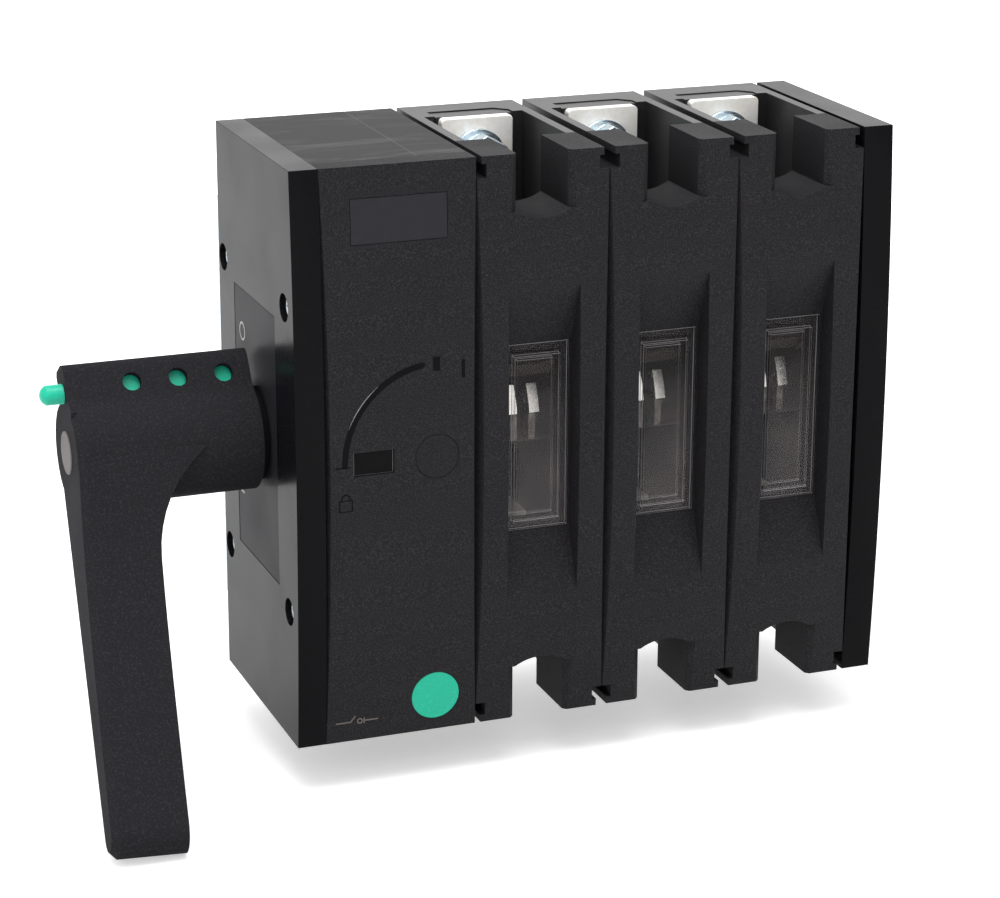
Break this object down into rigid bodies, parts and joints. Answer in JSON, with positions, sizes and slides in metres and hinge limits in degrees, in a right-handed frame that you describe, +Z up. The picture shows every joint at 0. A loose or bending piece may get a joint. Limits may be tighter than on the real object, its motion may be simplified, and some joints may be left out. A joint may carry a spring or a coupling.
{
  "type": "switch disconnector",
  "caption": "Side operated low voltage switch disconnector: mechanism case, row of pole housings with windows, terminals, rotary contacts and a lever handle with a padlock slide.",
  "frame": {"origin": "centre of the four fixing holes, on the rear face of the mounting rails", "axes": "+Y out of the back of the switch, towards the panel it is fixed to; +Z up along the poles; +X along the shaft, from the handle to the end plate"},
  "size_m": [0.3069, 0.1299, 0.2296],
  "materials": {
    "satin_black": "satin moulded thermoplastic",
    "housing_black": "moulded thermoset, smooth",
    "cover_grain": "moulded thermoplastic with a fine spark grain",
    "handle_black": "moulded glass filled nylon, fine grain",
    "label_grey": "printed label film",
    "green": "coloured thermoplastic",
    "cap_grey": "moulded thermoplastic",
    "clear": "clear polycarbonate",
    "zinc": "zinc plated steel",
    "shaft_steel": "bright drawn steel",
    "spring_steel": "oiled spring steel",
    "silver_plate": "silver plated copper",
    "bush_black": "turned black acetal",
    "rotor_resin": "moulded thermoset",
    "chute": "fibre cheeks with steel splitter plates"
  },
  "bodies": {
    "housing": {"side_plate": "satin_black", "side_label": "label_grey", "shaft_bush": "bush_black", "mech_case_left": "housing_black", "mech_case_right": "housing_black", "mech_cover": "cover_grain", "name_plate": "cover_grain", "front_plug": "cover_grain", "position_window": "clear", "colour_disc": "green", "end_plate": "satin_black", "mounting_rail_left": "zinc", "mounting_rail_right": "zinc", "rail_screws": "zinc", "tie_bolts": "zinc", "tie_nuts": "zinc", "terminal_bolts": "zinc", "terminal_washers": "zinc", "spring_washers": "zinc", "terminal_nuts": "zinc", "nut_holders": "housing_black", "mech_frame": "zinc", "drive_spring": "spring_steel", "pole_base_left_1": "housing_black", "pole_base_right_1": "housing_black", "pole_cover_1": "cover_grain", "pole_window_1": "clear", "upper_contact_1": "silver_plate", "lower_contact_1": "silver_plate", "arc_chutes_1": "chute", "pole_base_left_2": "housing_black", "pole_base_right_2": "housing_black", "pole_cover_2": "cover_grain", "pole_window_2": "clear", "upper_contact_2": "silver_plate", "lower_contact_2": "silver_plate", "arc_chutes_2": "chute", "pole_base_left_3": "housing_black", "pole_base_right_3": "housing_black", "pole_cover_3": "cover_grain", "pole_window_3": "clear", "upper_contact_3": "silver_plate", "lower_contact_3": "silver_plate", "arc_chutes_3": "chute"},
    "handle": {"handle_grip": "handle_black", "handle_insert": "shaft_steel", "handle_screw": "zinc", "handle_cap": "cap_grey", "handle_spindle": "shaft_steel", "drive_disc": "shaft_steel"},
    "contact_shaft": {"main_shaft": "shaft_steel", "position_drum": "housing_black", "rotor_1": "rotor_resin", "rotor_2": "rotor_resin", "rotor_3": "rotor_resin", "moving_blades_1": "silver_plate", "moving_blades_2": "silver_plate", "moving_blades_3": "silver_plate"},
    "lock": {"lock_slide": "green"}
  },
  "joints": [
    {"name": "handle_turn", "type": "hinge", "parent": "housing", "child": "handle", "pos_m": [-0.15, -0.0475, 0], "axis": [1, 0, 0], "range_deg": [-90, 0]},
    {"name": "contact_turn", "type": "hinge", "parent": "housing", "child": "contact_shaft", "pos_m": [0, -0.0475, 0], "axis": [1, 0, 0], "range_deg": [-90, 0]},
    {"name": "lock_pull", "type": "slide", "parent": "handle", "child": "lock", "axis": [-1, 0, 0], "range_m": [0, 0.00825]}
  ],
  "couplings": [
    {"joint": "contact_turn", "follows": "handle_turn", "ratio": 1}
  ]
}
